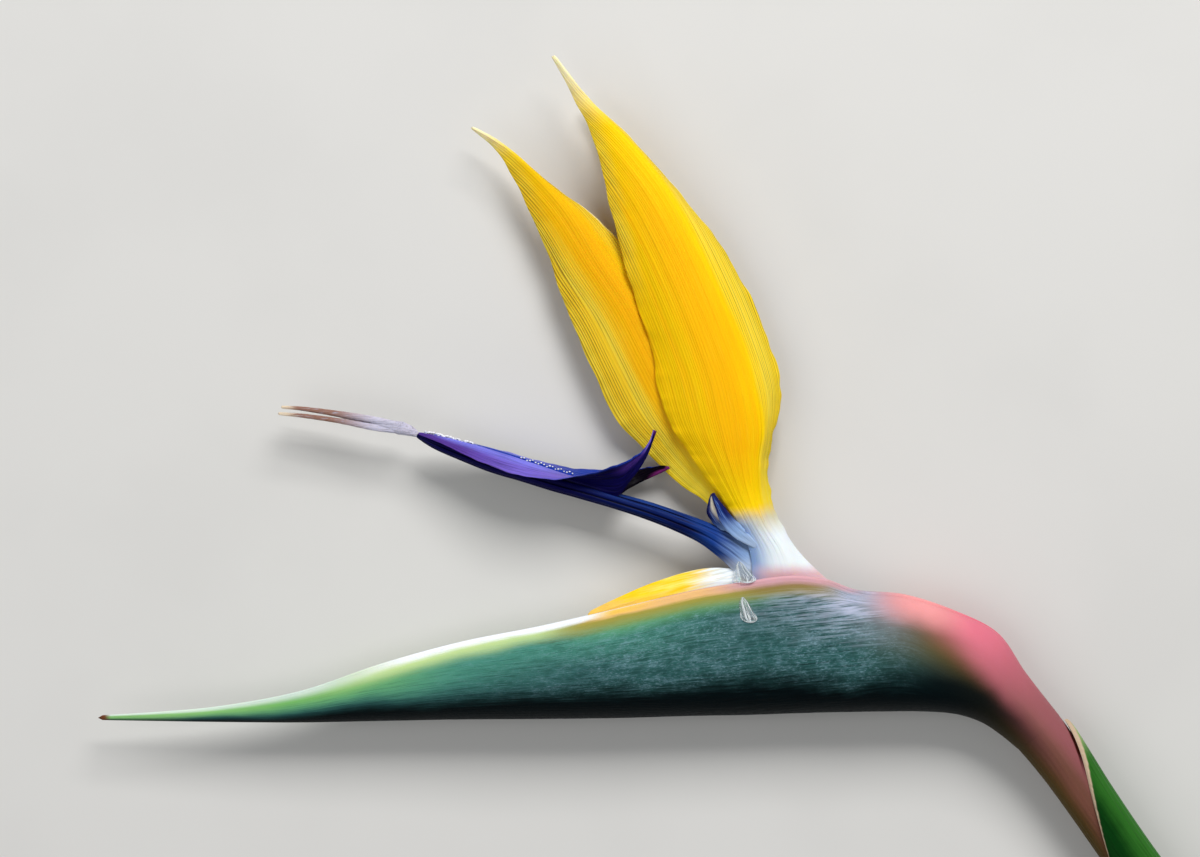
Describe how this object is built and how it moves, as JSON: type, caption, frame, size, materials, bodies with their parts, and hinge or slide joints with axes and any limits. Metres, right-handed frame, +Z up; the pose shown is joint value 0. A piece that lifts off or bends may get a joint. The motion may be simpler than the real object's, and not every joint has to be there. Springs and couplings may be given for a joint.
{
  "type": "cut bird of paradise flower",
  "caption": "Cut strelitzia flower head lying on its side: boat-shaped green spathe on a bent stem with a sheath leaf, upright yellow sepals and a blue arrow of fused petals.",
  "frame": {"origin": "on the surface it lies on, below the middle of the whole flower's box", "axes": "+X from the spathe's beak towards the stem, +Y the way the sepals stand, +Z up, out of the flank that faces up"},
  "size_m": [0.246, 0.2166, 0.0168],
  "materials": {
    "stem": "smooth waxy plant skin, rose pink turning olive",
    "sheath": "satin green leaf with a pale papery margin",
    "spathe": "satin teal green leaf skin with a grey bloom and a rose lip",
    "bract": "thin waxy membrane, yellow turning white",
    "ovary": "smooth white plant tissue",
    "sepal": "soft satin yellow petal with fine lengthwise veins",
    "petal": "satin indigo petal with fine ridges",
    "hood": "satin blue petal with white streaks",
    "pollen": "matt sticky white grains",
    "stigma": "matt lilac white, tan towards the tips"
  },
  "bodies": {
    "root": {"stem": "stem", "stem_sheath": "sheath", "spathe": "spathe", "inner_bract": "bract", "ovary": "ovary", "sepal_near": "sepal", "sepal_middle": "sepal", "sepal_far": "sepal", "arrow_petal_near": "petal", "arrow_petal_far": "petal", "hood_petal": "hood", "anthers": "pollen", "style_and_stigma": "stigma"}
  },
  "joints": []
}
